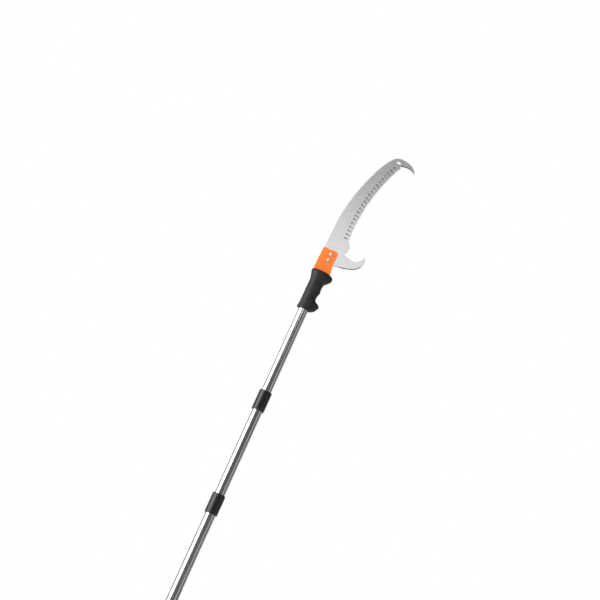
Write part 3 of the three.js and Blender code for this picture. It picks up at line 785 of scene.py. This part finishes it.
def socket_point(turn, height, grow=0.0):
    """The point of the socket's outline at a share of the way round and a height up the grip."""
    t = min(max((height - FLATTEN[0]) / (FLATTEN[1] - FLATTEN[0]), 0), 1)
    flat = t * t * (3 - 2 * t)
    taper = SOCKET_TAPER * max(height - FLATTEN[1], 0) / (socket_height - FLATTEN[1])
    bend = SOCKET_R + (SOCKET_FLAT / 2 - SOCKET_R) * flat
    straight = math.pi * (SOCKET_R - bend) - 2 * taper
    run = (turn % 0.5) * (math.tau * SOCKET_R - 4 * taper)
    side = 1 if turn % 1 < 0.5 else -1
    quarter = math.pi * bend / 2
    if run < quarter:
        angle, start = run / bend, straight / 2
    elif run < quarter + straight:
        angle, start = math.pi / 2, straight / 2 - (run - quarter)
    else:
        angle, start = (run - straight) / bend, -straight / 2
    x = start + (bend + grow) * math.cos(angle)
    y = (bend + grow) * math.sin(angle)
    return Vector((side * x + SOCKET_SHIFT * flat + taper, side * y, grip_z + height))


print("socket: ends %.0f mm above the grip's foot" % (socket_height / MM))

# %% [markdown]
# ## Socket
# A cylinder is cut into levels and each vertex is moved onto its level's outline. The shell is
# then sheared where the hooked side of the blade leaves, and its upper corner is rounded by a fan
# of short cuts. Each cut works between two heights, or it would run on through the tube below. A
# Solidify modifier gives the wall, so that the inside follows every cut by itself.

# %% Socket
SOCKET_WALL = 1.3 * MM
SOCKET_RIM_BREAK = 0.3 * MM
SOCKET_MOUTH_X = 23 * MM
SHEAR_FROM = (25.4 * MM, 116 * MM)
SHEAR_KNEE = (22.6 * MM, 133.4 * MM)
SHEAR_TOP = (SOCKET_MOUTH_X, 164.5 * MM)
CORNER = 7.5 * MM
SOCKET_AROUND, SOCKET_LEVELS = 128, 84


def levelled_cylinder(segments, levels):
    """An open cylinder of unit radius and unit height, cut into equal levels."""
    bm = bmesh.new()
    bmesh.ops.create_cone(bm, cap_ends=False, segments=segments, radius1=1, radius2=1, depth=1,
                          matrix=Matrix.Translation((0, 0, 0.5)))
    upright = [e for e in bm.edges if abs(e.verts[0].co.z - e.verts[1].co.z) > 0.5]
    bmesh.ops.subdivide_edges(bm, edges=upright, cuts=levels - 1, use_grid_fill=True)
    return bm


def shear(bm, point, normal, from_z=0.0, to_z=math.inf):
    """Cuts away, between two heights, everything on the side that normal points to."""
    faces = [f for f in bm.faces if from_z < f.calc_center_median().z < to_z]
    geometry = list(dict.fromkeys(part for f in faces for part in (*f.verts, *f.edges, f)))
    bmesh.ops.bisect_plane(bm, geom=geometry, plane_co=point, plane_no=normal, clear_outer=True)


socket_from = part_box("blade_socket")[0].z - grip_z
bm = levelled_cylinder(SOCKET_AROUND, SOCKET_LEVELS)
for vert in bm.verts:
    turn = math.atan2(vert.co.y, vert.co.x) / math.tau % 1
    vert.co = socket_point(turn, socket_from + (socket_height - socket_from) * vert.co.z)
for level in (SHEAR_FROM[1], SHEAR_KNEE[1]):
    geometry = bm.verts[:] + bm.edges[:] + bm.faces[:]
    bmesh.ops.bisect_plane(bm, geom=geometry, plane_co=(0, 0, grip_z + level), plane_no=(0, 0, 1))
for start, end in ((SHEAR_FROM, SHEAR_KNEE), (SHEAR_KNEE, SHEAR_TOP)):
    along_cut = Vector((end[0] - start[0], 0, end[1] - start[1])).normalized()
    out_of_cut = Vector((along_cut.z, 0, -along_cut.x))
    to_z = grip_z + end[1] if end is SHEAR_KNEE else math.inf
    shear(bm, (start[0], 0, grip_z + start[1]), out_of_cut, grip_z + start[1], to_z)
corner = Vector((SOCKET_MOUTH_X - CORNER, 0, socket_top - CORNER))
for degrees in range(15, 90, 15):
    out = Vector((math.cos(math.radians(degrees)), 0, math.sin(math.radians(degrees))))
    shear(bm, corner + out * CORNER, out)
bmesh.ops.recalc_face_normals(bm, faces=bm.faces)
socket = make_piece("blade_socket_pressed", bm, orange, "head", ["blade_socket"])
wall = socket.modifiers.new("wall", "SOLIDIFY")
wall.thickness = SOCKET_WALL
wall.offset = -1
rim = socket.modifiers.new("rim", "BEVEL")
rim.width = SOCKET_RIM_BREAK
rim.segments = 2
rim.limit_method = "ANGLE"
rim.angle_limit = math.radians(50)

# %% [markdown]
# ## Curves of the grip
# The grip is a black moulding that fits over the socket: a swell at the bottom with a hook for
# the little finger, two hollows for the fingers, and a guard at the top. Three smooth curves of
# height give its front, its back and its depth. Each passes through a few chosen sizes, so that a
# hollow is moved by changing one pair of numbers.


# %% Curves of the grip
def smooth_curve(stations):
    """A smooth function through (height, size) stations, both in millimetres."""
    def slope(i):
        a, b = stations[max(i - 1, 0)], stations[min(i + 1, len(stations) - 1)]
        return (b[1] - a[1]) / (b[0] - a[0])

    def value(z):
        i = max(k for k in range(len(stations) - 1) if k == 0 or z > stations[k][0])
        (z0, v0), (z1, v1) = stations[i], stations[i + 1]
        t = min(max((z - z0) / (z1 - z0), 0), 1)
        lead = slope(i) * (t**3 - 2 * t**2 + t) + slope(i + 1) * (t**3 - t**2)
        return v0 + (v1 - v0) * (3 * t**2 - 2 * t**3) + (z1 - z0) * lead

    return value


grip_front = smooth_curve([
    (0, 17.5), (4, 25.5), (12, 31.4), (20, 34), (25, 30), (30, 21), (40, 18.6), (50, 21),
    (56, 22.4), (62, 21), (72, 21.6), (79, 23.2), (86, 30.6), (93, 35.8), (98, 37), (103, 35.2),
    (106, 32), (108, 27)])
grip_back = smooth_curve([
    (0, 17.6), (3, 18.6), (9, 17.8), (20, 17.1), (55, 17.1), (80, 17), (88, 18.4), (98, 21.2),
    (103, 22.2), (106, 22), (108, 21.2)])
grip_depth = smooth_curve([
    (0, 17.8), (4, 18.6), (14, 18), (40, 17.5), (75, 17.6), (96, 18.8), (104, 18.4), (108, 16.6)])
print("grip: %.0f mm from its back to its hook" % (grip_front(20) + grip_back(20)))

# %% [markdown]
# ## Grip
# A cylinder cut into levels is moved onto the three curves, a second one makes the bore, and the
# two are bridged at both ends. Subtracting a bore is another way, but bridging keeps clean loops
# round the rims for the bevel. The mould's two halves meet in a fine line down the front and the
# back.

# %% Grip
GRIP_HEIGHT = 108
INSIDE_CAD = 0.985
PARTING_DEPTH = 0.35
PARTING_REACH = 0.02
BORE_GAP = 0.3 * MM
GRIP_RIM_ROUND = 0.9 * MM
GRIP_AROUND, GRIP_LEVELS, BORE_LEVELS = 96, 108, 4

outer = levelled_cylinder(GRIP_AROUND, GRIP_LEVELS)
for vert in outer.verts:
    angle = math.atan2(vert.co.y, vert.co.x)
    h = vert.co.z * GRIP_HEIGHT
    reach = grip_front(h) if math.cos(angle) > 0 else grip_back(h)
    reach -= PARTING_DEPTH if abs(math.sin(angle)) < PARTING_REACH else 0
    depth = grip_depth(h) * INSIDE_CAD
    vert.co = (reach * math.cos(angle) * MM, depth * math.sin(angle) * MM, grip_z + h * MM)
bore = levelled_cylinder(GRIP_AROUND, BORE_LEVELS)
for vert in bore.verts:
    turn = math.atan2(vert.co.y, vert.co.x) / math.tau % 1
    vert.co = socket_point(turn, vert.co.z * GRIP_HEIGHT * MM, BORE_GAP)
bore_mesh = bpy.data.meshes.new("bore")
bore.to_mesh(bore_mesh)
bore.free()
outer.from_mesh(bore_mesh)
bpy.data.meshes.remove(bore_mesh)
open_edges = [e for e in outer.edges if e.is_boundary]
for end in (grip_z, grip_z + GRIP_HEIGHT * MM):
    loops = [e for e in open_edges if abs(e.verts[0].co.z - end) < LEVEL]
    bmesh.ops.bridge_loops(outer, edges=loops)
bmesh.ops.recalc_face_normals(outer, faces=outer.faces)
soften(outer, GRIP_RIM_ROUND, sharper_than=50, segments=3)
make_piece("grip_moulded", outer, grip_black, "head", ["grip"], smooth_below=40)

# %% [markdown]
# ## How a pan-head screw is made
# A pan head is a low dome, pressed cold with a cross for the driver. The dome is spun, and its
# middle is cut by planes into a cross that is pushed down. A boolean cut would give the same
# recess, but planes keep the faces in order where they meet at the dome's top.

# %% Pan-head screw
DOME = ((0, 1), (0.5, 0.96), (0.8, 0.8), (0.95, 0.5), (1, 0.2), (1, 0))
SMALL_ROUND_STEPS = 48
SLOT_HALF = 0.55 * MM
RECESS_DEPTH = 1.3 * MM
RECESS_NARROWING = 0.8


def pan_screw(head_r, head_height, shank_r, shank_length, recess):
    """A pan-head screw along +Z with its seat at z = 0 and the shank below."""
    dome = [(head_r * width, head_height * rise) for width, rise in DOME]
    outline = dome + [(shank_r, 0), (shank_r, -shank_length), (0, -shank_length)]
    bm = turned(outline, SMALL_ROUND_STEPS)
    for axis in (Vector((1, 0, 0)), Vector((0, 1, 0))):
        for reach in (-recess, -SLOT_HALF, SLOT_HALF, recess):
            geometry = bm.verts[:] + bm.edges[:] + bm.faces[:]
            bmesh.ops.bisect_plane(bm, geom=geometry, plane_co=axis * reach, plane_no=axis)
    cross = []
    for face in bm.faces:
        c = face.calc_center_median()
        near, far = sorted((abs(c.x), abs(c.y)))
        if face.normal.z > 0.5 and near < SLOT_HALF and far < recess:
            cross.append(face)
    sunk = bmesh.ops.extrude_face_region(bm, geom=cross)["geom"]
    bmesh.ops.delete(bm, geom=cross, context="FACES_ONLY")
    floor_verts = [g for g in sunk if isinstance(g, bmesh.types.BMVert)]
    bmesh.ops.translate(bm, verts=floor_verts, vec=(0, 0, -RECESS_DEPTH))
    bmesh.ops.scale(bm, verts=floor_verts, vec=(RECESS_NARROWING, RECESS_NARROWING, 1))
    tidy_normals(bm)
    return bm


def laid_along_y(bm, place, outwards):
    """Turns a piece built along +Z to face along Y (outwards is 1 or -1) at place."""
    turn = Matrix.Rotation(-outwards * math.pi / 2, 4, "X")
    bmesh.ops.transform(bm, matrix=Matrix.Translation(place) @ turn, verts=bm.verts)


# %% [markdown]
# ## Screws in place
# Two screws clamp the blade in the socket, with their heads on the near side. One smaller
# self-tapping screw holds the grip and the socket to the top tube from the far side. Each takes
# its place and its head's size from the solid that it stands for.

# %% Screws in place
PLATE_CLEARANCE = 0.1 * MM
BLADE_SHANK_R = 2.45 * MM
BLADE_RECESS = 2.3 * MM
GRIP_SCREW_SEAT = 16.8 * MM
GRIP_SHANK_R = 1.9 * MM
GRIP_RECESS = 2 * MM
for label in ("upper", "lower"):
    node = "blade_screw_" + label
    low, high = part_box(node)
    head_r = (high.x - low.x) / 2
    seat_y = -SOCKET_FLAT / 2 - PLATE_CLEARANCE
    seat = Vector(((low.x + high.x) / 2, seat_y, (low.z + high.z) / 2))
    bm = pan_screw(head_r, seat.y - low.y, BLADE_SHANK_R, high.y - seat.y, BLADE_RECESS)
    laid_along_y(bm, seat, -1)
    make_piece(node + "_pan", bm, zinc, "head", [node])

low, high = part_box("grip_screw")
head_r = (high.x - low.x) / 2
seat = Vector((0, GRIP_SCREW_SEAT, (low.z + high.z) / 2))
bm = pan_screw(head_r, high.y - seat.y, GRIP_SHANK_R, seat.y - low.y, GRIP_RECESS)
laid_along_y(bm, seat, 1)
make_piece("grip_screw_pan", bm, zinc, "head", ["grip_screw"])

# %% [markdown]
# ## Nuts and washers
# Each blade screw ends in a washer and a hexagon nut on the far side. The nut is a cylinder of six
# sides with its corners and edges broken, and the washer is a spun rectangle. The nut is left
# solid, because the screw's shank fills its hole.

# %% Nuts and washers
NUT_CORNER_BREAK = 0.5 * MM
PRESSED_BREAK = 0.12 * MM
WASHER_HOLE_R = 2.65 * MM
for label in ("upper", "lower"):
    node = "blade_nut_" + label
    low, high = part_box(node)
    middle_of_nut = (low + high) / 2
    nut_r = (high.z - low.z) / 2
    bm = bmesh.new()
    bmesh.ops.create_cone(bm, cap_ends=True, segments=6, radius1=nut_r, radius2=nut_r,
                          depth=high.y - low.y)
    bmesh.ops.bevel(bm, geom=bm.verts[:], offset=NUT_CORNER_BREAK, affect="VERTICES", segments=1,
                    profile=0.5, material=-1)
    laid_along_y(bm, middle_of_nut, 1)
    bmesh.ops.rotate(bm, cent=middle_of_nut, verts=bm.verts,
                     matrix=Matrix.Rotation(math.radians(30), 3, "Y"))
    soften(bm, PRESSED_BREAK, segments=1)
    make_piece(node + "_hex", bm, zinc, "head", [node])

    node = "blade_washer_" + label
    low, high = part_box(node)
    washer_r, thickness = (high.x - low.x) / 2, high.y - low.y
    bm = turned([(WASHER_HOLE_R, 0), (washer_r, 0), (washer_r, thickness),
                 (WASHER_HOLE_R, thickness)], SMALL_ROUND_STEPS)
    soften(bm, PRESSED_BREAK, segments=1)
    laid_along_y(bm, Vector(((low.x + high.x) / 2, low.y, (low.z + high.z) / 2)), 1)
    make_piece(node + "_flat", bm, zinc, "head", [node])

# %% [markdown]
# ## Solids that stay
# The wedge rings, plugs, guide rings and the bush sit inside other pieces, and their
# solids are right as they are. They only need their materials.

# %% Materials on the frame's own solids
kept = {
    nylon_black: ("middle_tube_plug", "top_tube_plug", "socket_bush"),
    acetal: ("lower_wedge_ring", "upper_wedge_ring", "middle_guide_ring", "top_guide_ring"),
}
for finish, names in kept.items():
    for name in names:
        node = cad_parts[name]
        if not node.material_slots:
            node.data.materials.append(finish.material)
        for slot in node.material_slots:
            slot.material = finish.material
print("dressed", sum(len(names) for names in kept.values()), "solids of the frame")

# %% Finish
bpy.context.view_layer.update()
